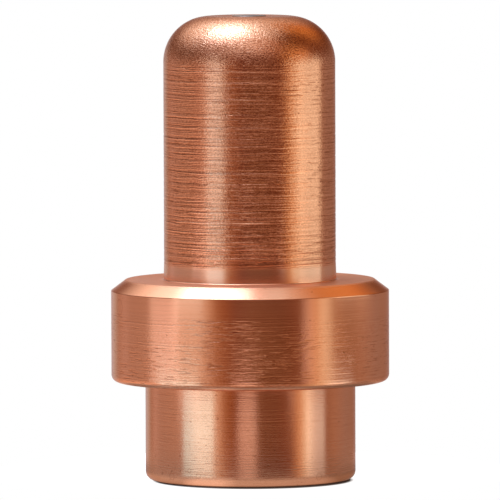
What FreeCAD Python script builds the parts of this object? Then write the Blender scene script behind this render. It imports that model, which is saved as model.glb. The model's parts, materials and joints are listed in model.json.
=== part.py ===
"""A plasma torch electrode: a body turned from one copper bar, with a hafnium emitter pressed into its nose.

All sizes are in millimetres. The electrode stands on its rear face, with the origin at that face's centre
and +Z along the axis towards the nose. From the rear face up, the body is a plain spigot, a wider collar
with a bevelled upper edge, and a long nose with a rounded end. A blind socket in the rear face takes the
torch's contact pin, and the emitter sits in a blind pocket drilled in the middle of the nose's end face.
"""

import FreeCAD, Part
import math
import os

# Spigot, the plain stub behind the collar
SPIGOT_DIAMETER = 9.9
SPIGOT_LENGTH = 4.65
SPIGOT_EDGE_RADIUS = 0.42

# Collar
COLLAR_DIAMETER = 13.1
COLLAR_THICKNESS = 4.8
COLLAR_LOWER_EDGE_RADIUS = 0.33
COLLAR_BEVEL_WIDTH = 0.68  # measured across the collar's upper face
COLLAR_BEVEL_HEIGHT = 0.51  # measured down the collar's rim
COLLAR_BEVEL_EDGE_BREAK = 0.06

# Nose
NOSE_DIAMETER = 8.1
NOSE_LENGTH = 12.4
NOSE_CORNER_RADIUS = 2.15

# Radius that the turning tool leaves in the two inner corners, at the collar's faces
ROOT_RADIUS = 0.2

# Rear socket, with the groove that the contact pin's spring ring snaps into
SOCKET_DIAMETER = 5.6
SOCKET_DEPTH = 10.4  # from the rear face to the start of the drill point
SOCKET_MOUTH_BEVEL = 0.35
SNAP_GROOVE_DEPTH = 0.25
SNAP_GROOVE_WIDTH = 0.9
SNAP_GROOVE_FROM_REAR_FACE = 2.2
DRILL_POINT_ANGLE = 118.0  # degrees, for the socket and the emitter's pocket

# Emitter and the pocket it is pressed into
EMITTER_DIAMETER = 1.6
EMITTER_LENGTH = 3.6
EMITTER_STAND_OUT = 0.03  # how far it stands out of the nose's end face
EMITTER_FACE_EDGE_BREAK = 0.02
EMITTER_LEAD_IN = 0.12
EMITTER_PRESS_CLEARANCE = 0.0  # radial: the copper grips the emitter all round

# Heights of the faces above the rear face
COLLAR_LOWER_FACE = SPIGOT_LENGTH
COLLAR_UPPER_FACE = COLLAR_LOWER_FACE + COLLAR_THICKNESS
NOSE_END_FACE = COLLAR_UPPER_FACE + NOSE_LENGTH
EMITTER_SEAT = NOSE_END_FACE + EMITTER_STAND_OUT - EMITTER_LENGTH

SHARP = 0.0


def drill_point_height(radius):
    """Height of the cone that a drill of this radius leaves at the end of its hole."""
    return radius / math.tan(math.radians(DRILL_POINT_ANGLE / 2))


def rounded_corner(before, corner, after, radius):
    """Start, middle and end of the arc that rounds a corner of an outline."""
    to_before = (before - corner).normalize()
    to_after = (after - corner).normalize()
    half_angle = to_before.getAngle(to_after) / 2
    reach = radius / math.tan(half_angle)
    to_arc = radius / math.sin(half_angle) - radius
    middle = corner + (to_before + to_after).normalize() * to_arc
    return corner + to_before * reach, middle, corner + to_after * reach


def turned(corners):
    """Solid of revolution about Z from the corners of its half section, each (radius, height, rounding)."""
    points = [FreeCAD.Vector(radius, 0, height) for radius, height, _ in corners]
    edges = []
    starts = []
    ends = []
    for i, (_, _, rounding) in enumerate(corners):
        start = end = points[i]
        if rounding > SHARP:
            following = points[(i + 1) % len(points)]
            start, middle, end = rounded_corner(points[i - 1], points[i], following, rounding)
            edges.append(Part.Arc(start, middle, end).toShape())
        starts.append(start)
        ends.append(end)
    for i, end in enumerate(ends):
        edges.append(Part.LineSegment(end, starts[(i + 1) % len(starts)]).toShape())
    section = Part.Face(Part.Wire(Part.__sortEdges__(edges)))
    return section.revolve(FreeCAD.Vector(0, 0, 0), FreeCAD.Vector(0, 0, 1), 360)


def spigot_corners():
    """Outside of the spigot, from the rear face up."""
    radius = SPIGOT_DIAMETER / 2
    return [(radius, 0, SPIGOT_EDGE_RADIUS), (radius, COLLAR_LOWER_FACE, ROOT_RADIUS)]


def collar_corners():
    """Outside of the collar, from its lower edge to the bevel's inner edge."""
    radius = COLLAR_DIAMETER / 2
    return [
        (radius, COLLAR_LOWER_FACE, COLLAR_LOWER_EDGE_RADIUS),
        (radius, COLLAR_UPPER_FACE - COLLAR_BEVEL_HEIGHT, COLLAR_BEVEL_EDGE_BREAK),
        (radius - COLLAR_BEVEL_WIDTH, COLLAR_UPPER_FACE, COLLAR_BEVEL_EDGE_BREAK),
    ]


def nose_corners():
    """Outside of the nose, from its root to its rounded end."""
    radius = NOSE_DIAMETER / 2
    return [(radius, COLLAR_UPPER_FACE, ROOT_RADIUS), (radius, NOSE_END_FACE, NOSE_CORNER_RADIUS)]


def emitter_pocket_corners():
    """Pocket in the nose's end face, from its mouth down to its drill point."""
    radius = EMITTER_DIAMETER / 2 + EMITTER_PRESS_CLEARANCE
    return [
        (radius, NOSE_END_FACE, SHARP),
        (radius, EMITTER_SEAT, SHARP),
        (0, EMITTER_SEAT - drill_point_height(radius), SHARP),
    ]


def socket_corners():
    """Rear socket, from its drill point down to its mouth."""
    radius = SOCKET_DIAMETER / 2
    groove_radius = radius + SNAP_GROOVE_DEPTH
    groove_top = SNAP_GROOVE_FROM_REAR_FACE + SNAP_GROOVE_WIDTH
    return [
        (0, SOCKET_DEPTH + drill_point_height(radius), SHARP),
        (radius, SOCKET_DEPTH, SHARP),
        (radius, groove_top, SHARP),
        (groove_radius, groove_top, SHARP),
        (groove_radius, SNAP_GROOVE_FROM_REAR_FACE, SHARP),
        (radius, SNAP_GROOVE_FROM_REAR_FACE, SHARP),
        (radius, SOCKET_MOUTH_BEVEL, SHARP),
        (radius + SOCKET_MOUTH_BEVEL, 0, SHARP),
    ]


def electrode_body():
    """The copper body, one piece turned and bored from bar."""
    outside = spigot_corners() + collar_corners() + nose_corners()
    return turned(outside + emitter_pocket_corners() + socket_corners())


def emitter_insert():
    """The hafnium emitter, a cut length of rod with a lead-in at its inner end."""
    radius = EMITTER_DIAMETER / 2
    face = EMITTER_SEAT + EMITTER_LENGTH
    return turned(
        [
            (0, EMITTER_SEAT, SHARP),
            (radius - EMITTER_LEAD_IN, EMITTER_SEAT, SHARP),
            (radius, EMITTER_SEAT + EMITTER_LEAD_IN, SHARP),
            (radius, face - EMITTER_FACE_EDGE_BREAK, SHARP),
            (radius - EMITTER_FACE_EDGE_BREAK, face, SHARP),
            (0, face, SHARP),
        ]
    )


PIECES = {
    "electrode_body": electrode_body,
    "emitter_insert": emitter_insert,
}

os.makedirs("parts", exist_ok=True)
for name, make in PIECES.items():
    solid = make()
    solid.exportStep(os.path.join("parts", name + ".step"))
    print(name, solid.ShapeType, "valid", solid.isValid(), "volume", round(solid.Volume, 3), "mm3")
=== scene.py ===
"""Looks of the plasma torch electrode: turned copper with a ground hafnium emitter, in a plain pale studio.

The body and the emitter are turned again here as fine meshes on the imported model's own sizes, with the rings
that the turning tool leaves. Lengths are in millimetres unless a name or a comment says otherwise, and become
metres where a mesh, a lamp or the camera is made. The photograph is taken from -Y, so the left is -X.
"""

import json
import math
from collections import namedtuple

import bpy
import numpy as np
from mathutils import Matrix, Vector


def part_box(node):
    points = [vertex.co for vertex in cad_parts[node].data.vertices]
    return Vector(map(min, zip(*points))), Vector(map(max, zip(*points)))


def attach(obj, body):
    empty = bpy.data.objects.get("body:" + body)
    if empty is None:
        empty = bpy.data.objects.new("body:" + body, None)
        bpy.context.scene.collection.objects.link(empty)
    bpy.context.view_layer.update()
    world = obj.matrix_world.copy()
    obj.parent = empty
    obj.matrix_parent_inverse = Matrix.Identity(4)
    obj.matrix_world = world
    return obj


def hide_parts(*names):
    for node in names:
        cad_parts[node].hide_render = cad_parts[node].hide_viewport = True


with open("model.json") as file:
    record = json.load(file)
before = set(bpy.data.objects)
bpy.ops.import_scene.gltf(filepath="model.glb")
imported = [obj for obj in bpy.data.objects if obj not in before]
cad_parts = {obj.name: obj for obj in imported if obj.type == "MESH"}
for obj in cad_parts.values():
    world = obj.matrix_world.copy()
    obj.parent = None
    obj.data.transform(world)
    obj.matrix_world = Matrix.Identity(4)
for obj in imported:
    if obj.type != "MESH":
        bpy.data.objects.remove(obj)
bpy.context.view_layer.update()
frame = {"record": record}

MM = 0.001  # metres in a millimetre
RANDOM_SEED = 7


# Sizes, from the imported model


def mount(name):
    """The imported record's mount of that name."""
    return next(m for m in frame["record"]["mounts"] if m["name"] == name)


def mount_radius(name):
    return mount(name)["dims"]["r_mm"]


def mount_height(name):
    return mount(name)["pos_m"][2] / MM


SPIGOT_RADIUS = mount_radius("spigot")
COLLAR_RADIUS = mount_radius("collar_rim")
NOSE_RADIUS = mount_radius("nose")
SOCKET_RADIUS = mount_radius("rear_socket")
COLLAR_LOWER_FACE = mount_height("collar_seat")
COLLAR_UPPER_FACE = mount_height("collar_top")
NOSE_END_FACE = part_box("electrode_body")[1].z / MM
EMITTER_SEAT, EMITTER_FACE = (corner.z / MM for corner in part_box("emitter_insert"))
EMITTER_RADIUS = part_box("emitter_insert")[1].x / MM

# Details of the outline
SPIGOT_EDGE_RADIUS = 0.42
COLLAR_LOWER_EDGE_RADIUS = 0.33
COLLAR_BEVEL_WIDTH = 0.68
COLLAR_BEVEL_HEIGHT = 0.51
COLLAR_BEVEL_EDGE_BREAK = 0.06
NOSE_CORNER_RADIUS = 2.15
ROOT_RADIUS = 0.06
NOSE_LAND_HEIGHT = 0.8  # a smooth land that the nose's last cut leaves above the collar
NOSE_LAND_STEP = 0.02  # how far that land stands out of the nose
COLLAR_LAND_HEIGHT = 0.95  # a smooth land below the collar's bevel
SOCKET_DEPTH = 10.4
SOCKET_MOUTH_BEVEL = 0.35
DRILL_POINT_ANGLE = 118.0  # degrees, for the socket and the emitter's pocket
HALF_DRILL_POINT = math.radians(DRILL_POINT_ANGLE / 2)
SOCKET_TIP_HEIGHT = SOCKET_RADIUS / math.tan(HALF_DRILL_POINT)
POCKET_TIP_HEIGHT = EMITTER_RADIUS / math.tan(HALF_DRILL_POINT)
SNAP_GROOVE_DEPTH = 0.25
SNAP_GROOVE_WIDTH = 0.9
SNAP_GROOVE_FROM_REAR_FACE = 2.2
HOLE_EDGE_BREAK = 0.03
EMITTER_LEAD_IN = 0.12
EMITTER_FACE_EDGE_BREAK = 0.02

# How finely the outline is divided
SEGMENTS = 112  # round the axis
NOSE_STEP = 0.03
OUTSIDE_STEP = 0.07
INSIDE_STEP = 0.4
ARC_STEPS = 8
DOME_STEPS = 56
SHARP = 0.0
LEAST_RUN = 1e-12  # keeps a direction from being divided by 0

# How strongly each face shows tool lines, wavy creases between them, fine grain and a matt look, and how pale
# or, below 0, how dark its copper is; the pale nose land is a painted highlight, the dark dome painted shade
Finish = namedtuple("Finish", "lines creases grain matt tone")
BORED = Finish(lines=0.5, creases=0.0, grain=0.3, matt=0.3, tone=0.0)
REAR = Finish(lines=0.4, creases=0.0, grain=0.3, matt=0.3, tone=0.0)
SPIGOT = Finish(lines=0.22, creases=0.3, grain=0.3, matt=0.0, tone=0.0)
COLLAR = Finish(lines=0.25, creases=1.0, grain=0.4, matt=0.0, tone=0.0)
COLLAR_LAND = Finish(lines=0.1, creases=0.0, grain=0.1, matt=0.0, tone=0.0)
# Its pale copper is a painted highlight
NOSE_LAND = Finish(lines=0.04, creases=0.0, grain=0.06, matt=0.1, tone=0.45)
BEVEL = Finish(lines=0.02, creases=0.0, grain=0.04, matt=0.0, tone=0.0)
COLLAR_TOP = Finish(lines=0.04, creases=0.0, grain=0.06, matt=1.0, tone=-0.2)
NOSE = Finish(lines=1.0, creases=1.0, grain=0.9, matt=0.0, tone=-0.18)
# Its darker copper is painted shade
DOME = Finish(lines=0.1, creases=0.0, grain=2.0, matt=0.0, tone=-0.22)
FINISH_BLEND = 0.12  # how far along the outline one finish runs into the next

Corner = namedtuple("Corner", "radius height rounding finish step")


def body_outline():
    """The copper body's half section, from the socket's tip round the outside to the emitter pocket's tip.

    Each corner says how it is rounded, and the finish and the ring spacing of the face that starts at it.
    """
    groove_top = SNAP_GROOVE_FROM_REAR_FACE + SNAP_GROOVE_WIDTH
    groove_radius = SOCKET_RADIUS + SNAP_GROOVE_DEPTH
    bevel_foot = COLLAR_UPPER_FACE - COLLAR_BEVEL_HEIGHT
    bevel_top_radius = COLLAR_RADIUS - COLLAR_BEVEL_WIDTH
    collar_land_foot = bevel_foot - COLLAR_LAND_HEIGHT
    nose_land_radius = NOSE_RADIUS + NOSE_LAND_STEP
    nose_land_top = COLLAR_UPPER_FACE + NOSE_LAND_HEIGHT
    return [
        Corner(0, SOCKET_DEPTH + SOCKET_TIP_HEIGHT, SHARP, BORED, INSIDE_STEP),
        Corner(SOCKET_RADIUS, SOCKET_DEPTH, HOLE_EDGE_BREAK, BORED, INSIDE_STEP),
        Corner(SOCKET_RADIUS, groove_top, HOLE_EDGE_BREAK, BORED, INSIDE_STEP),
        Corner(groove_radius, groove_top, HOLE_EDGE_BREAK, BORED, INSIDE_STEP),
        Corner(groove_radius, SNAP_GROOVE_FROM_REAR_FACE, HOLE_EDGE_BREAK, BORED, INSIDE_STEP),
        Corner(SOCKET_RADIUS, SNAP_GROOVE_FROM_REAR_FACE, HOLE_EDGE_BREAK, BORED, INSIDE_STEP),
        Corner(SOCKET_RADIUS, SOCKET_MOUTH_BEVEL, HOLE_EDGE_BREAK, BORED, OUTSIDE_STEP),
        Corner(SOCKET_RADIUS + SOCKET_MOUTH_BEVEL, 0, HOLE_EDGE_BREAK, REAR, OUTSIDE_STEP),
        Corner(SPIGOT_RADIUS, 0, SPIGOT_EDGE_RADIUS, SPIGOT, OUTSIDE_STEP),
        Corner(SPIGOT_RADIUS, COLLAR_LOWER_FACE, ROOT_RADIUS, REAR, OUTSIDE_STEP),
        Corner(COLLAR_RADIUS, COLLAR_LOWER_FACE, COLLAR_LOWER_EDGE_RADIUS, COLLAR, OUTSIDE_STEP),
        Corner(COLLAR_RADIUS, collar_land_foot, SHARP, COLLAR_LAND, OUTSIDE_STEP),
        Corner(COLLAR_RADIUS, bevel_foot, COLLAR_BEVEL_EDGE_BREAK, BEVEL, OUTSIDE_STEP),
        Corner(bevel_top_radius, COLLAR_UPPER_FACE, COLLAR_BEVEL_EDGE_BREAK, COLLAR_TOP, OUTSIDE_STEP),
        Corner(nose_land_radius, COLLAR_UPPER_FACE, ROOT_RADIUS, NOSE_LAND, OUTSIDE_STEP),
        Corner(NOSE_RADIUS, nose_land_top, SHARP, NOSE, NOSE_STEP),
        Corner(NOSE_RADIUS, NOSE_END_FACE, NOSE_CORNER_RADIUS, DOME, OUTSIDE_STEP),
        Corner(EMITTER_RADIUS, NOSE_END_FACE, HOLE_EDGE_BREAK, BORED, INSIDE_STEP),
        Corner(EMITTER_RADIUS, EMITTER_SEAT, SHARP, BORED, INSIDE_STEP),
        Corner(0, EMITTER_SEAT - POCKET_TIP_HEIGHT, SHARP, BORED, INSIDE_STEP),
    ]


def emitter_outline():
    """The emitter's half section, from the middle of its seat to the middle of its face."""
    face_edge = EMITTER_RADIUS - EMITTER_FACE_EDGE_BREAK
    return [
        Corner(0, EMITTER_SEAT, SHARP, BORED, INSIDE_STEP),
        Corner(EMITTER_RADIUS - EMITTER_LEAD_IN, EMITTER_SEAT, SHARP, BORED, INSIDE_STEP),
        Corner(EMITTER_RADIUS, EMITTER_SEAT + EMITTER_LEAD_IN, SHARP, BORED, INSIDE_STEP),
        Corner(EMITTER_RADIUS, EMITTER_FACE - EMITTER_FACE_EDGE_BREAK, SHARP, BORED, EMITTER_FACE_EDGE_BREAK),
        Corner(face_edge, EMITTER_FACE, SHARP, BORED, OUTSIDE_STEP),
        Corner(0, EMITTER_FACE, SHARP, BORED, OUTSIDE_STEP),
    ]


# Turning a mesh from an outline


def arc_points(before, corner, after, rounding):
    """Points along the arc that rounds a corner, from its start to its end."""
    to_before = (before - corner) / np.linalg.norm(before - corner)
    to_after = (after - corner) / np.linalg.norm(after - corner)
    half_angle = math.acos(float(np.clip(to_before @ to_after, -1, 1))) / 2
    reach = rounding / math.tan(half_angle)
    to_centre = (to_before + to_after) / np.linalg.norm(to_before + to_after)
    centre = corner + to_centre * rounding / math.sin(half_angle)
    first = corner + to_before * reach - centre
    last = corner + to_after * reach - centre
    sweep = math.pi - 2 * half_angle
    steps = DOME_STEPS if rounding == NOSE_CORNER_RADIUS else ARC_STEPS
    points = []
    for i in range(steps + 1):
        share = i / steps
        blend = (math.sin((1 - share) * sweep) * first + math.sin(share * sweep) * last) / math.sin(sweep)
        points.append(centre + blend)
    return points


def rings_of(outline):
    """(radius, height) and finish of every ring along an outline, arcs and straight runs alike."""
    corners = [np.array([c.radius, c.height], float) for c in outline]
    places, finishes = [], []
    for i, corner in enumerate(outline):
        if corner.rounding > SHARP:
            run = arc_points(corners[i - 1], corners[i], corners[i + 1], corner.rounding)
        else:
            run = [corners[i]]
        if places:
            start, end = places[-1], run[0]
            previous = outline[i - 1]
            count = max(1, math.ceil(np.linalg.norm(end - start) / previous.step))
            for k in range(1, count):
                places.append(start + (end - start) * k / count)
                finishes.append(previous.finish)
        places.extend(run)
        finishes.extend([corner.finish] * len(run))
    return np.array(places), np.array(finishes, float)


def along(places):
    """Distance along the outline from its start to each ring."""
    return np.concatenate([[0], np.cumsum(np.linalg.norm(np.diff(places, axis=0), axis=1))])


def blended(finishes, distance):
    """Finishes that run into each other over FINISH_BLEND along the outline."""
    weight = np.exp(-(((distance[:, None] - distance[None, :]) / FINISH_BLEND) ** 2))
    weight *= np.gradient(distance)[None, :]
    return weight @ finishes / weight.sum(1)[:, None]


def outward(places):
    """Unit normal of the outline at each ring, pointing out of the metal."""
    run = np.gradient(places, axis=0)
    run /= np.maximum(np.linalg.norm(run, axis=1), LEAST_RUN)[:, None]
    return np.stack([run[:, 1], -run[:, 0]], 1)


def turned_mesh(name, places, finishes):
    """A closed mesh of rings about Z, with smooth normals and the attributes that the materials read.

    turned_place holds a point on a cylinder of the ring's radius whose height is the distance along the
    outline, so a pattern that is stretched along its first two axes runs round the part on every face.
    """
    distance = along(places)
    normals = outward(places)
    angles = np.arange(SEGMENTS) * (2 * math.pi / SEGMENTS)
    circle = np.stack([np.cos(angles), np.sin(angles)], 1)
    middle = places[1:-1]
    vertices = [(0, 0, places[0][1])]
    patterns = [(0, 0, distance[0])]
    directions = [(0, 0, np.sign(normals[0][1]))]
    for (radius, height), where, (out, up) in zip(middle, distance[1:-1], normals[1:-1]):
        for cosine, sine in circle:
            vertices.append((radius * cosine, radius * sine, height))
            patterns.append((radius * cosine, radius * sine, where))
            directions.append((out * cosine, out * sine, up))
    vertices.append((0, 0, places[-1][1]))
    patterns.append((0, 0, distance[-1]))
    directions.append((0, 0, np.sign(normals[-1][1])))

    faces, coordinates = ring_faces(len(middle), distance)
    mesh = bpy.data.meshes.new(name)
    mesh.from_pydata((np.array(vertices) * MM).tolist(), [], faces)
    mesh.update()
    layer = mesh.uv_layers.new(name="OFBake")
    layer.uv.foreach_set("vector", np.array(coordinates, np.float32).ravel())
    store(mesh, "turned_place", patterns)
    ring_finishes = np.concatenate([finishes[:1], np.repeat(finishes[1:-1], SEGMENTS, 0), finishes[-1:]])
    for field, strengths in zip(Finish._fields, ring_finishes.T):
        store(mesh, field, strengths)
    mesh.shade_smooth()
    mesh.normals_split_custom_set_from_vertices([Vector(d).normalized() for d in directions])
    return mesh


def ring_faces(rings, distance):
    """Faces between the rings and at both ends, and each corner's place on a map of angle and distance."""
    faces, coordinates = [], []
    share = distance / distance[-1]
    last = 1 + rings * SEGMENTS
    for j in range(SEGMENTS):
        right = (j + 1) % SEGMENTS
        left_u, right_u = j / SEGMENTS, (j + 1) / SEGMENTS
        middle_u = (left_u + right_u) / 2
        faces.append((0, 1 + right, 1 + j))
        coordinates += [(middle_u, share[0]), (right_u, share[1]), (left_u, share[1])]
        for i in range(rings - 1):
            lower, upper = 1 + i * SEGMENTS, 1 + (i + 1) * SEGMENTS
            faces.append((lower + j, lower + right, upper + right, upper + j))
            low_v, high_v = share[i + 1], share[i + 2]
            coordinates += [(left_u, low_v), (right_u, low_v), (right_u, high_v), (left_u, high_v)]
        top = 1 + (rings - 1) * SEGMENTS
        faces.append((top + j, top + right, last))
        coordinates += [(left_u, share[-2]), (right_u, share[-2]), (middle_u, share[-1])]
    return faces, coordinates


def store(mesh, name, values):
    """Keeps one number or vector for each vertex under a name that the materials read."""
    values = np.array(values, np.float32)
    kind, field = ("FLOAT", "value") if values.ndim == 1 else ("FLOAT_VECTOR", "vector")
    attribute = mesh.attributes.new(name, kind, "POINT")
    attribute.data.foreach_set(field, values.ravel())


# Rings left by the turning tool

FEED = 0.17  # spacing of the tool's main rings
FEED_DEPTH = 0.001
FINE_FEED = 0.08  # spacing of the finer rings between them
FINE_DEPTH = 0.003
# Deeper scores on the nose, by their heights above its land
SCORE_HEIGHTS = (0.05, 0.23, 0.57, 1.35, 2.11, 2.31, 3.04, 3.57, 3.91, 4.46, 5.03, 6.05)
SCORE_DEPTH = 0.009
SCORE_WIDTH = 0.035
SAME_RADIUS = 0.001  # a ring within this of the nose's radius is on the nose


def random_profile(distance, spacing, depth, random):
    """Depths that change at random from one feed of the tool to the next."""
    knots = np.arange(0, distance[-1] + spacing, spacing)
    return np.interp(distance, knots, random.uniform(0, depth, len(knots)))


def tool_rings(places, finishes):
    """The outline with the tool's rings, where the finish has tool lines, and the scores on the nose."""
    random = np.random.RandomState(RANDOM_SEED)
    distance = along(places)
    lines = finishes[:, Finish._fields.index("lines")]
    depth = random_profile(distance, FEED, FEED_DEPTH, random)
    depth += random_profile(distance, FINE_FEED, FINE_DEPTH, random)
    depth *= lines
    on_nose = np.abs(places[:, 0] - NOSE_RADIUS) < SAME_RADIUS
    for height in SCORE_HEIGHTS:
        above = places[:, 1] - (COLLAR_UPPER_FACE + NOSE_LAND_HEIGHT + height)
        depth += SCORE_DEPTH * np.exp(-((above / SCORE_WIDTH) ** 2)) * on_nose
    return places - outward(places) * depth[:, None]


# Materials

# Noise with so many features to a millimetre round the part, and so many across its tool lines. The pattern
# begins where the noise reaches low, and is full where it reaches high.
Pattern = namedtuple("Pattern", "around across low high detail distortion", defaults=(0.0, 1.0, 2.0, 0.0))


class Nodes:
    """Builds the nodes of one material or world. An input is a plain value or another node's output."""

    def __init__(self, owner):
        self.owner = owner
        owner.use_nodes = True
        self.tree = owner.node_tree
        self.tree.nodes.clear()

    def node(self, kind, inputs, **settings):
        made = self.tree.nodes.new(kind)
        for key, value in settings.items():
            setattr(made, key, value)
        for key, value in inputs.items():
            if isinstance(key, str):
                socket = next(s for s in made.inputs if s.name == key and s.enabled)
            else:
                socket = made.inputs[key]
            if isinstance(value, bpy.types.NodeSocket):
                self.tree.links.new(value, socket)
            else:
                socket.default_value = value
        return made

    def math(self, operation, first, second=0.0):
        return self.node("ShaderNodeMath", {0: first, 1: second}, operation=operation).outputs[0]

    def product(self, *factors):
        result = factors[0]
        for factor in factors[1:]:
            result = self.math("MULTIPLY", result, factor)
        return result

    def total(self, *terms):
        result = terms[0]
        for term in terms[1:]:
            result = self.math("ADD", result, term)
        return result

    def attribute(self, name, output="Fac"):
        return self.node("ShaderNodeAttribute", {}, attribute_name=name).outputs[output]

    def split(self, vector):
        return self.node("ShaderNodeSeparateXYZ", {0: vector}).outputs[:3]

    def moved(self, vector, along_axis, amount):
        """vector with amount added along one of its axes."""
        offset = self.node("ShaderNodeCombineXYZ", {along_axis: amount}).outputs[0]
        return self.node("ShaderNodeVectorMath", {0: vector, 1: offset}, operation="ADD").outputs[0]

    def distance(self, first, second):
        inputs = {0: first, 1: second}
        return self.node("ShaderNodeVectorMath", inputs, operation="DISTANCE").outputs["Value"]

    def noise(self, place, pattern):
        """Noise with the features of a pattern, between 0 and 1 and mostly near the middle."""
        stretch = (pattern.around, pattern.around, pattern.across)
        scaled = self.node("ShaderNodeVectorMath", {0: place, 1: stretch}, operation="MULTIPLY").outputs[0]
        inputs = {"Vector": scaled, "Scale": 1.0, "Detail": pattern.detail, "Distortion": pattern.distortion}
        return self.node("ShaderNodeTexNoise", inputs).outputs["Fac"]

    def pattern(self, place, pattern, to_low=0.0, to_high=1.0):
        """A pattern, made to run from to_low to to_high."""
        return self.between(self.noise(place, pattern), pattern.low, pattern.high, to_low, to_high)

    def rings(self, distance, per_mm, start):
        """Noise that changes only along the outline, with so many rings to a millimetre, from start on."""
        along_it = self.total(self.product(distance, per_mm), start)
        inputs = {"W": along_it, "Scale": 1.0, "Detail": 0.0}
        return self.node("ShaderNodeTexNoise", inputs, noise_dimensions="1D").outputs["Fac"]

    def between(self, value, low, high, to_low=0.0, to_high=1.0):
        """value from low to high made to run from to_low to to_high, and no further."""
        inputs = {"Value": value, "From Min": low, "From Max": high, "To Min": to_low, "To Max": to_high}
        return self.node("ShaderNodeMapRange", inputs).outputs[0]

    def mixed(self, factor, first, second):
        inputs = {"Factor": factor, "A": first, "B": second}
        made = self.node("ShaderNodeMix", inputs, data_type="RGBA")
        return next(s for s in made.outputs if s.enabled)

    def blend(self, share, first, second):
        """Value that goes from first to second as share goes from 0 to 1."""
        inputs = {"Factor": share, "A": first, "B": second}
        made = self.node("ShaderNodeMix", inputs, data_type="FLOAT")
        return next(s for s in made.outputs if s.enabled)

    def ramp(self, value, stops):
        """Colour that runs through (place, colour) stops as value goes from 0 to 1."""
        made = self.node("ShaderNodeValToRGB", {0: value})
        elements = made.color_ramp.elements
        elements.remove(elements[1])
        for i, (place, colour) in enumerate(stops):
            element = elements[0] if i == 0 else elements.new(place)
            element.position = place
            element.color = (*colour, 1)
        return made.outputs[0]

    def bumped(self, height):
        """Normal of a surface that stands height millimetres higher."""
        return self.node("ShaderNodeBump", {"Strength": 1.0, "Distance": MM, "Height": height}).outputs[0]

    def principled(self, inputs):
        shader = self.node("ShaderNodeBsdfPrincipled", inputs)
        self.node("ShaderNodeOutputMaterial", {"Surface": shader.outputs[0]})
        return self.owner


COPPER = (0.88, 0.39, 0.22, 1)
COPPER_DARK = (0.40, 0.13, 0.055, 1)
COPPER_PALE = (0.96, 0.62, 0.44, 1)
COPPER_ROUGHNESS = (0.22, 0.27)
CLOUDS = Pattern(0.25, 0.25, 0.3, 0.7)  # where the copper goes from its first roughness to its second
MATT_ROUGHNESS = 0.08  # how much rougher a matt face is
MATT_METALLIC = 0.65  # how much of the metal's shine shows through a matt face's thin oxide
COPPER_ANISOTROPY = 0.62
COPPER_EDGE_TINT = (0.88, 0.66, 0.55, 1)  # of what it reflects where it is seen edge on
ACROSS_THE_LINES = 0.25  # a quarter turn from the tangent, which runs round the part

# Tool lines. Each set of them changes here and there round the part from one stretch of noise to another.
LineSet = namedtuple("LineSet", "per_mm first_stretch second_stretch")
LINE_SETS = [LineSet(9.0, 0.0, 500.0), LineSet(17.0, 1500.0, 0.0)]
LINE_CHANGES = Pattern(0.3, 2.0, 0.42, 0.58)
LINE_SWAYS = Pattern(0.5, 0.5)
LINE_SWAY = 0.05  # how far a line wanders to either side
LINE_RIPPLES = Pattern(1.4, 2.2)
LINE_RIPPLE = 0.03  # how far a line wanders over a short stretch
LINE_HEIGHT = 0.030
LINE_EDGES = (0.30, 0.70)  # noise at a line's trough and at its crest
# A line's painted highlight on its crest and painted shade in its trough
LINE_PAINTED_LIGHT = 0.35  # how much a line pales or darkens the copper

# Wavy creases between the lines, in worn places alone
CREASES = Pattern(1.2, 13.0, 0.56, 0.70, detail=1.0, distortion=0.4)
WORN_PLACES = Pattern(0.3, 0.6, 0.38, 0.55)
CREASE_DEPTH = 0.007
# Painted shade darkens the copper in a crease
CREASE_PAINTED_SHADE = 0.35  # how much a crease darkens the copper

# Fine grain, and small nicks
GRAIN = Pattern(12.0, 18.0, 0.30, 0.70, detail=1.0)
GRAIN_HEIGHT = 0.009
GRAIN_TONE = 0.33  # how much the grain pales or darkens the copper
NICKS = Pattern(5.0, 7.0, 0.80, 0.85, detail=0.0)
NICK_TONE = 0.45  # how much a nick darkens the copper

# A smoother streak along the body
STREAK_RIGHT = 2.9  # how far right of the axis its middle runs
STREAK_EDGES = (0.4, 1.0)  # distances from its middle between which it ends
STREAK_LINES = 0.4  # share of the tool lines that is left in it
STREAK_GRAIN = 0.6  # share of the grain that is left in it

# Thin round marks on the front of the body: how far right of the axis and above the rear face they lie, the
# radius of the face that carries the mark, and the mark's own radius
Mark = namedtuple("Mark", "right height body_radius size")
MARKS = [
    Mark(-2.87, 0.75, SPIGOT_RADIUS, 0.09),
    Mark(-2.45, 0.52, SPIGOT_RADIUS, 0.12),
    Mark(-3.70, 0.42, SPIGOT_RADIUS, 0.16),
    Mark(3.20, 0.42, SPIGOT_RADIUS, 0.15),
    Mark(-6.13, 8.30, COLLAR_RADIUS, 0.36),
]
MARK_WIDTH = 0.035
MARK_TONE = 0.4  # how much a mark darkens the copper


def round_marks(nodes):
    """1 on the body's round marks, and 0 elsewhere."""
    place = nodes.node("ShaderNodeTexCoord", {}).outputs["Object"]
    shown = 0.0
    for mark in MARKS:
        front = -math.sqrt(mark.body_radius**2 - mark.right**2)
        centre = Vector((mark.right, front, mark.height)) * MM
        off_ring = nodes.math("SUBTRACT", nodes.distance(place, centre), mark.size * MM)
        ring = nodes.between(nodes.math("ABSOLUTE", off_ring), MARK_WIDTH * MM, 0)
        shown = nodes.math("MAXIMUM", shown, ring)
    return shown


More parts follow.
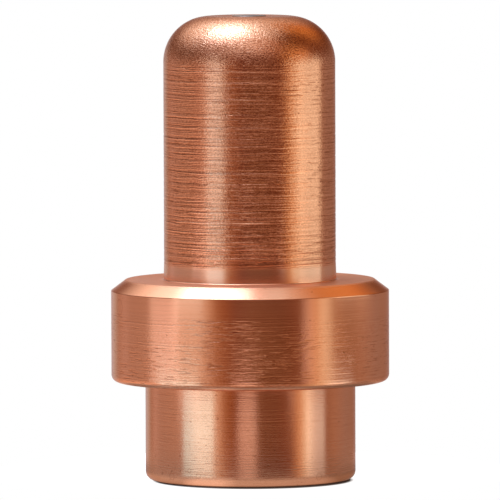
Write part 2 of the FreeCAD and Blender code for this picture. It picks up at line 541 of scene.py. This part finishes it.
def tool_lines(nodes, place):
    """The lines that the tool leaves, as noise across them that wanders a little round the part."""
    sway = nodes.pattern(place, LINE_SWAYS, -LINE_SWAY, LINE_SWAY)
    ripple = nodes.pattern(place, LINE_RIPPLES, -LINE_RIPPLE, LINE_RIPPLE)
    distance = nodes.split(nodes.moved(place, "Z", nodes.total(sway, ripple)))[2]
    changes = nodes.pattern(place, LINE_CHANGES)
    sets = []
    for lines in LINE_SETS:
        first = nodes.rings(distance, lines.per_mm, lines.first_stretch)
        second = nodes.rings(distance, lines.per_mm, lines.second_stretch)
        sets.append(nodes.product(nodes.blend(changes, first, second), 1 / len(LINE_SETS)))
    return nodes.total(*sets)


def turned_copper():
    """Bare copper as the lathe leaves it, with lines, creases, grain, nicks, marks and a smoother streak.

    The tool lines' crests are paler as a painted highlight, their troughs and the creases darker as painted
    shade.
    """
    nodes = Nodes(bpy.data.materials.new("turned_copper"))
    place = nodes.attribute("turned_place", "Vector")
    lines, creases, grain, matt, tone = (nodes.attribute(field) for field in Finish._fields)
    off_streak = nodes.math("ABSOLUTE", nodes.math("SUBTRACT", nodes.split(place)[0], STREAK_RIGHT))
    lines = nodes.product(lines, nodes.between(off_streak, *STREAK_EDGES, STREAK_LINES, 1.0))
    grain = nodes.product(grain, nodes.between(off_streak, *STREAK_EDGES, STREAK_GRAIN, 1.0))
    line = tool_lines(nodes, place)
    speck = nodes.noise(place, GRAIN)
    crease = nodes.product(nodes.pattern(place, CREASES), nodes.pattern(place, WORN_PLACES), creases)

    height = nodes.total(
        nodes.product(line, lines, LINE_HEIGHT),
        nodes.product(speck, grain, GRAIN_HEIGHT),
        nodes.product(crease, -CREASE_DEPTH),
    )
    # Painted highlight and shade of the lines and creases, with the copper's grain, nicks, marks and face tone
    painted_light_and_tone = nodes.total(
        nodes.product(nodes.between(line, *LINE_EDGES, -1, 1), lines, LINE_PAINTED_LIGHT),
        nodes.product(nodes.between(speck, GRAIN.low, GRAIN.high, -1, 1), grain, GRAIN_TONE),
        nodes.product(crease, -CREASE_PAINTED_SHADE),
        nodes.product(nodes.pattern(place, NICKS), -NICK_TONE),
        nodes.product(round_marks(nodes), -MARK_TONE),
        tone,
    )
    colour = nodes.mixed(nodes.between(painted_light_and_tone, 0, -1), COPPER, COPPER_DARK)
    colour = nodes.mixed(nodes.between(painted_light_and_tone, 0, 1), colour, COPPER_PALE)
    rough = nodes.pattern(place, CLOUDS, *COPPER_ROUGHNESS)
    tangent = nodes.node("ShaderNodeTangent", {}, direction_type="RADIAL", axis="Z")
    return nodes.principled(
        {
            "Base Color": colour,
            "Metallic": nodes.between(matt, 0, 1, 1, MATT_METALLIC),
            "Roughness": nodes.total(rough, nodes.product(matt, MATT_ROUGHNESS)),
            "Specular IOR Level": 0.0,
            "Specular Tint": COPPER_EDGE_TINT,
            "Anisotropic": COPPER_ANISOTROPY,
            "Anisotropic Rotation": ACROSS_THE_LINES,
            "Normal": nodes.bumped(height),
            "Tangent": tangent.outputs[0],
        }
    )


HAFNIUM = (0.33, 0.29, 0.26, 1)
HAFNIUM_PALE = (0.45, 0.40, 0.36, 1)
# Edge tints of the face: the bright one on its left is a painted glint, the dark one right of the axis painted
# shade
HAFNIUM_BRIGHT_EDGE = (1.00, 0.80, 0.64, 1)  # of what it reflects where it is seen edge on
HAFNIUM_PAINTED_SHADE_EDGE = (0.34, 0.22, 0.17, 1)
PAINTED_SHADE_FROM = (-0.45, 0.10)  # distances right of the axis between which the face turns dull
HAFNIUM_ROUGHNESS = (0.34, 0.46)
GROUND_RINGS = Pattern(0.3, 12.0, 0.3, 0.7, detail=3.0)
GROUND_RING_HEIGHT = 0.0015
PALE_RINGS = (0.4, 0.7)  # noise between which a ring turns pale


def ground_hafnium():
    """Grey hafnium with the fine rings of a ground face, and a painted glint and painted shade across its
    face.
    """
    nodes = Nodes(bpy.data.materials.new("ground_hafnium"))
    place = nodes.attribute("turned_place", "Vector")
    ring = nodes.noise(place, GROUND_RINGS)
    painted_shade = nodes.between(nodes.split(place)[0], *PAINTED_SHADE_FROM)
    return nodes.principled(
        {
            "Base Color": nodes.mixed(nodes.between(ring, *PALE_RINGS), HAFNIUM, HAFNIUM_PALE),
            "Metallic": 1.0,
            "Roughness": nodes.between(ring, GROUND_RINGS.low, GROUND_RINGS.high, *HAFNIUM_ROUGHNESS),
            "Specular Tint": nodes.mixed(painted_shade, HAFNIUM_BRIGHT_EDGE, HAFNIUM_PAINTED_SHADE_EDGE),
            "Normal": nodes.bumped(nodes.product(ring, GROUND_RING_HEIGHT)),
        }
    )


# The electrode


def add_piece(name, places, finishes, material, node):
    """One turned piece in the place of its CAD node."""
    mesh = turned_mesh(name, places, finishes)
    mesh.materials.append(material)
    piece = bpy.data.objects.new(name, mesh)
    bpy.context.scene.collection.objects.link(piece)
    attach(piece, "root")
    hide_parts(node)


def add_body():
    places, finishes = rings_of(body_outline())
    finishes = blended(finishes, along(places))
    ringed = tool_rings(places, finishes)
    add_piece("turned_body", ringed, finishes, turned_copper(), "electrode_body")


def add_emitter():
    places, finishes = rings_of(emitter_outline())
    add_piece("emitter", places, finishes, ground_hafnium(), "emitter_insert")


# Studio


def direction(azimuth, elevation):
    """Unit vector for an azimuth from the camera's side, rightwards, and an elevation, both in degrees."""
    a, e = math.radians(azimuth), math.radians(elevation)
    return Vector((math.sin(a) * math.cos(e), -math.cos(a) * math.cos(e), math.sin(e)))


# Lamps stand at a distance from the height on the electrode's axis that they aim at. Their angles are in
# degrees, and brightness 1 looks white. The cards stand close by, so that each lights only what is level with
# it.
Lamp = namedtuple("Lamp", "name shape azimuth elevation roll distance aim width height brightness colour")
LAMPS = [
    Lamp("softbox_top", "ELLIPSE", -105, 73, 88, 420, 11, 255, 250, 5.4, (0.82, 1.0, 1.42)),
    Lamp("softbox_glow", "ELLIPSE", -125, 70, 88, 440, 11, 480, 480, 0.55, (0.5, 1.05, 1.5)),
    Lamp("card_nose_left", "RECTANGLE", -41, 0, 0, 14, 15, 5.2, 14, 0.6, (0.4, 0.9, 1.3)),
    Lamp("card_nose_right", "RECTANGLE", 79.5, 0, 0, 15, 15.2, 9.8, 12.4, 0.85, (0.83, 1.17, 1.22)),
    Lamp("card_collar_left", "RECTANGLE", -62, 0, 0, 15.3, 6.2, 6.6, 6, 0.6, (0.75, 0.9, 1.1)),
    Lamp("card_collar_right", "RECTANGLE", 39, 0, 0, 15.3, 6.4, 2.2, 6, 0.28, (1.0, 1.15, 1.3)),
    Lamp("card_spigot_left", "RECTANGLE", -50.5, 0, 0, 14, 1.8, 8.2, 4.4, 0.85, (0.42, 1.28, 1.85)),
    Lamp("card_spigot_right", "RECTANGLE", 64, 0, 0, 14, 1.8, 5.4, 4.4, 0.75, (0.6, 1.0, 1.3)),
    Lamp("card_spigot_front", "ELLIPSE", -3, 0, 0, 16, 1.6, 5.6, 4.6, 0.65, (1.0, 1.02, 1.1)),
]


def add_lamp(lamp):
    """A soft lamp that the camera doesn't see."""
    light = bpy.data.lights.new(lamp.name, "AREA")
    light.shape = lamp.shape
    light.size = lamp.width * MM
    light.size_y = lamp.height * MM
    filled = math.pi / 4 if lamp.shape == "ELLIPSE" else 1.0
    light.energy = lamp.brightness * math.pi * filled * light.size * light.size_y
    light.color = lamp.colour
    placed = bpy.data.objects.new(lamp.name, light)
    towards = direction(lamp.azimuth, lamp.elevation)
    placed.location = (Vector((0, 0, lamp.aim)) + towards * lamp.distance) * MM
    turn = towards.to_track_quat("Z", "Y").to_matrix()
    placed.rotation_euler = (turn @ Matrix.Rotation(math.radians(lamp.roll), 3, "Z")).to_euler()
    placed.visible_camera = False
    bpy.context.scene.collection.objects.link(placed)


# A tone stands at an azimuth from the camera's side, in degrees, and runs into the next one round the part
Tone = namedtuple("Tone", "azimuth colour")


def azimuth_of(nodes, x, y):
    """Azimuth from the camera's side, in radians, of the direction with these two parts."""
    return nodes.math("ARCTAN2", x, nodes.product(y, -1.0))


def tones_round(nodes, azimuth, tones):
    """Colour that the tones have at an azimuth."""
    turn = nodes.between(azimuth, -math.pi, math.pi)
    return nodes.ramp(turn, [((tone.azimuth + 180) / 360, tone.colour) for tone in tones])


def seen_by(nodes):
    """Two values, 1 where the camera looks straight at a thing, and 1 where metal or glass shows it."""
    path = nodes.node("ShaderNodeLightPath", {}).outputs
    return path["Is Camera Ray"], nodes.math("MAXIMUM", path["Is Glossy Ray"], path["Is Transmission Ray"])


WHITE = (1, 1, 1, 1)
FLOOR_RADIUS = 12.5
FLOOR_BACK = 3  # how far its centre lies behind the electrode
FLOOR_SEGMENTS = 96
FLOOR_COLOUR = (0.2, 0.2, 0.2, 1)
FLOOR_LIFT = 1.0  # brightness that the floor adds for the camera, so that it reads as white
CONTACT_SHADOW_CENTRE = (0.12, -0.7)
CONTACT_SHADOW = (4.55, 4.75)  # distances from that centre between which the brightness comes up

# Brightness that the floor adds for mirrors, by the distance from the axis: they see the shade of the base
# and, farther out, the shade of the collar
Shade = namedtuple("Shade", "distance brightness")
SHADE_RADIUS = 16.0  # the shades' distances are taken as shares of this one
SHADES = [
    Shade(4.65, 0.00),
    Shade(4.75, 0.50),
    Shade(6.20, 0.45),
    Shade(7.00, 0.13),
    Shade(10.5, 0.18),
    Shade(13.0, 0.60),
]

# How much brighter or dimmer the floor is to mirrors, round the electrode from the far side
FLOOR_TONES = [
    Tone(-180, (1.0, 1.0, 1.0)),
    Tone(-70, (0.95, 0.95, 0.95)),
    Tone(-44, (0.95, 0.95, 0.95)),
    Tone(-34, (1.8, 1.9, 2.0)),
    Tone(-18, (1.8, 1.9, 2.0)),
    Tone(-8, (1.05, 1.05, 1.05)),
    Tone(44, (1.0, 1.0, 1.0)),
    Tone(62, (0.5, 0.45, 0.4)),
    Tone(110, (0.6, 0.6, 0.6)),
    Tone(180, (1.0, 1.0, 1.0)),
]


def floor_material():
    """Matt and pale, with a brightness of its own for the camera and another one for mirrors."""
    nodes = Nodes(bpy.data.materials.new("floor"))
    place = nodes.node("ShaderNodeNewGeometry", {}).outputs["Position"]
    by_camera, by_metal = seen_by(nodes)
    shadow_centre = Vector((*CONTACT_SHADOW_CENTRE, 0)) * MM
    lit = nodes.between(nodes.distance(place, shadow_centre), *(edge * MM for edge in CONTACT_SHADOW))
    from_axis = nodes.between(nodes.distance(place, (0, 0, 0)), 0, SHADE_RADIUS * MM)
    stops = [(shade.distance / SHADE_RADIUS, (shade.brightness,) * 3) for shade in SHADES]
    shaded = nodes.split(nodes.ramp(from_axis, stops))[0]
    for_camera = nodes.product(by_camera, lit, FLOOR_LIFT)
    for_mirrors = nodes.product(by_metal, shaded)
    x, y, _ = nodes.split(place)
    mirrored = tones_round(nodes, azimuth_of(nodes, x, y), FLOOR_TONES)
    inputs = {
        "Color": nodes.mixed(by_camera, mirrored, WHITE),
        "Strength": nodes.math("MAXIMUM", for_camera, for_mirrors),
    }
    glow = nodes.node("ShaderNodeEmission", inputs).outputs[0]
    matt = nodes.node("ShaderNodeBsdfDiffuse", {"Color": FLOOR_COLOUR}).outputs[0]
    both = nodes.node("ShaderNodeAddShader", {0: matt, 1: glow}).outputs[0]
    nodes.node("ShaderNodeOutputMaterial", {"Surface": both})
    return nodes.owner


def add_floor():
    """A plain pale round floor that keeps the electrode's shadow."""
    angles = [2 * math.pi * i / FLOOR_SEGMENTS for i in range(FLOOR_SEGMENTS)]
    centre = Vector((0, FLOOR_BACK, 0))
    rim = [(centre + FLOOR_RADIUS * Vector((math.cos(a), math.sin(a), 0))) * MM for a in angles]
    mesh = bpy.data.meshes.new("floor")
    mesh.from_pydata(rim, [], [tuple(range(FLOOR_SEGMENTS))])
    mesh.materials.append(floor_material())
    floor = bpy.data.objects.new("floor", mesh)
    bpy.context.scene.collection.objects.link(floor)


# The room round the studio, in layers from the ground up. A layer takes over from what is below it between
# two elevations, given as their sines.
Layer = namedtuple("Layer", "foot full tones")
BELOW = (0.20, 0.11, 0.07, 1)  # the room's colour under its lowest layer
# The ground beyond the floor
GROUND = Layer(
    -0.78,
    -0.52,
    [
        Tone(-180, (0.50, 0.43, 0.42)),
        Tone(-150, (0.95, 0.72, 0.62)),
        Tone(-80, (1.00, 0.74, 0.62)),
        Tone(-40, (0.62, 0.46, 0.38)),
        Tone(-20, (0.52, 0.36, 0.28)),
        Tone(46, (0.50, 0.34, 0.26)),
        Tone(60, (1.00, 0.90, 0.66)),
        Tone(86, (1.00, 0.90, 0.80)),
        Tone(96, (0.40, 0.30, 0.26)),
        Tone(180, (0.50, 0.43, 0.42)),
    ],
)
# Pale reflectors left and right of a dark front, with the dim room beside and behind them
HORIZON = Layer(
    -0.36,
    -0.12,
    [
        Tone(-180, (0.52, 0.52, 0.56)),
        Tone(-158, (0.66, 0.84, 1.02)),
        Tone(-150, (0.58, 0.72, 0.86)),
        Tone(-142, (0.44, 0.34, 0.32)),
        Tone(-130, (0.60, 0.54, 0.60)),
        Tone(-118, (0.46, 0.38, 0.38)),
        Tone(-90, (0.48, 0.38, 0.35)),
        Tone(-72, (0.47, 0.32, 0.28)),
        Tone(-60, (0.95, 0.85, 0.80)),
        Tone(-46, (0.95, 0.85, 0.78)),
        Tone(-36, (0.85, 0.75, 0.65)),
        Tone(-32, (0.62, 0.42, 0.27)),
        Tone(-27, (0.33, 0.14, 0.05)),
        Tone(-22, (0.30, 0.10, 0.02)),
        Tone(-12, (0.10, 0.010, 0.002)),
        Tone(0, (0.12, 0.050, 0.022)),
        Tone(26, (0.11, 0.045, 0.024)),
        Tone(46, (0.16, 0.035, 0.010)),
        Tone(57, (0.78, 0.50, 0.28)),
        Tone(61, (1.00, 1.10, 1.02)),
        Tone(66, (0.84, 0.94, 0.86)),
        Tone(75, (0.28, 0.15, 0.09)),
        Tone(84, (0.18, 0.07, 0.03)),
        Tone(104, (0.45, 0.32, 0.25)),
        Tone(130, (0.38, 0.34, 0.36)),
        Tone(152, (0.38, 0.32, 0.31)),
        Tone(180, (0.45, 0.43, 0.47)),
    ],
)
# The dark wall above them, with a warm glow on the right
WALL = Layer(
    0.0,
    0.20,
    [
        Tone(-180, (0.42, 0.30, 0.26)),
        Tone(-150, (0.20, 0.12, 0.10)),
        Tone(-90, (0.10, 0.05, 0.03)),
        Tone(-60, (0.20, 0.10, 0.07)),
        Tone(-12, (0.18, 0.06, 0.03)),
        Tone(47, (0.14, 0.045, 0.018)),
        Tone(60, (0.90, 0.52, 0.20)),
        Tone(82, (0.85, 0.50, 0.24)),
        Tone(100, (0.20, 0.08, 0.04)),
        Tone(130, (0.18, 0.09, 0.06)),
        Tone(162, (0.18, 0.09, 0.05)),
        Tone(180, (0.42, 0.30, 0.26)),
    ],
)
# The pale ceiling, dark on the right and warm behind that
CEILING = Layer(
    0.32,
    0.62,
    [
        Tone(-180, (1.00, 1.05, 1.10)),
        Tone(-155, (1.30, 1.48, 1.70)),
        Tone(-136, (1.30, 1.42, 1.60)),
        Tone(-112, (0.85, 0.80, 0.84)),
        Tone(-90, (0.58, 0.50, 0.50)),
        Tone(-60, (0.58, 0.54, 0.58)),
        Tone(-6, (0.88, 0.86, 0.92)),
        Tone(20, (0.90, 0.80, 0.80)),
        Tone(48, (0.60, 0.34, 0.20)),
        Tone(66, (0.14, 0.06, 0.02)),
        Tone(110, (0.20, 0.08, 0.03)),
        Tone(138, (0.85, 0.48, 0.16)),
        Tone(148, (0.85, 0.40, 0.11)),
        Tone(156, (0.55, 0.26, 0.09)),
        Tone(162, (0.90, 0.90, 0.90)),
        Tone(180, (1.00, 1.05, 1.10)),
    ],
)
# Straight above, without a change round the electrode
ZENITH = Layer(0.86, 0.97, [Tone(-180, (1.00, 1.10, 1.20)), Tone(180, (1.00, 1.10, 1.20))])
# The white backdrop behind begins between these azimuths on either side, and ends between these elevations,
# given as their sines
BACKDROP_SIDES = (math.radians(170), math.radians(173))
BACKDROP_TOP = (0.0, 0.08)


def add_world():
    """White for the camera. What the copper reflects is a dim warm room, with a white backdrop behind."""
    nodes = Nodes(bpy.data.worlds.new("studio"))
    bpy.context.scene.world = nodes.owner
    place = nodes.node("ShaderNodeTexCoord", {}).outputs["Generated"]
    x, y, z = nodes.split(place)
    azimuth = azimuth_of(nodes, x, y)
    room = BELOW
    for layer in (GROUND, HORIZON, WALL, CEILING, ZENITH):
        share = nodes.between(z, layer.foot, layer.full)
        room = nodes.mixed(share, room, tones_round(nodes, azimuth, layer.tones))
    by_camera, by_metal = seen_by(nodes)
    behind = nodes.between(nodes.math("ABSOLUTE", azimuth), *BACKDROP_SIDES)
    below_top = nodes.between(z, *BACKDROP_TOP, 1.0, 0.0)
    backdrop = nodes.math("MAXIMUM", by_camera, nodes.product(by_metal, behind, below_top))
    dim = nodes.node("ShaderNodeBackground", {"Color": room}).outputs[0]
    white = nodes.node("ShaderNodeBackground", {"Color": WHITE}).outputs[0]
    both = nodes.node("ShaderNodeMixShader", {0: backdrop, 1: dim, 2: white}).outputs[0]
    nodes.node("ShaderNodeOutputWorld", {"Surface": both})


# The camera, as the photograph's ellipses place it
CAMERA_DISTANCE = 470
CAMERA_HEIGHT = 41.9
AIM_HEIGHT = 10.82
AIM_RIGHT = 0.004
CAMERA_ROLL = 0.2  # degrees, the part's left side lower
PIXELS_WIDE = 500
FOCAL_LENGTH_PIXELS = 10000
SENSOR_WIDTH = 36
NEAREST_SEEN = 10


def add_camera():
    """A long lens from -Y, a little above the part."""
    camera = bpy.data.cameras.new("camera")
    camera.sensor_width = SENSOR_WIDTH
    camera.lens = FOCAL_LENGTH_PIXELS * SENSOR_WIDTH / PIXELS_WIDE
    camera.clip_start = NEAREST_SEEN * MM
    placed = bpy.data.objects.new("camera", camera)
    place = Vector((0, -CAMERA_DISTANCE, CAMERA_HEIGHT))
    aim = Vector((AIM_RIGHT, 0, AIM_HEIGHT))
    placed.location = place * MM
    turn = (aim - place).to_track_quat("-Z", "Y").to_matrix().to_4x4()
    roll = Matrix.Rotation(math.radians(-CAMERA_ROLL), 4, "Z")
    placed.rotation_euler = (turn @ roll).to_euler()
    bpy.context.scene.collection.objects.link(placed)
    bpy.context.scene.camera = placed


add_body()
add_emitter()
add_floor()
for lamp in LAMPS:
    add_lamp(lamp)
add_world()
add_camera()
bpy.context.scene.view_settings.view_transform = "Standard"
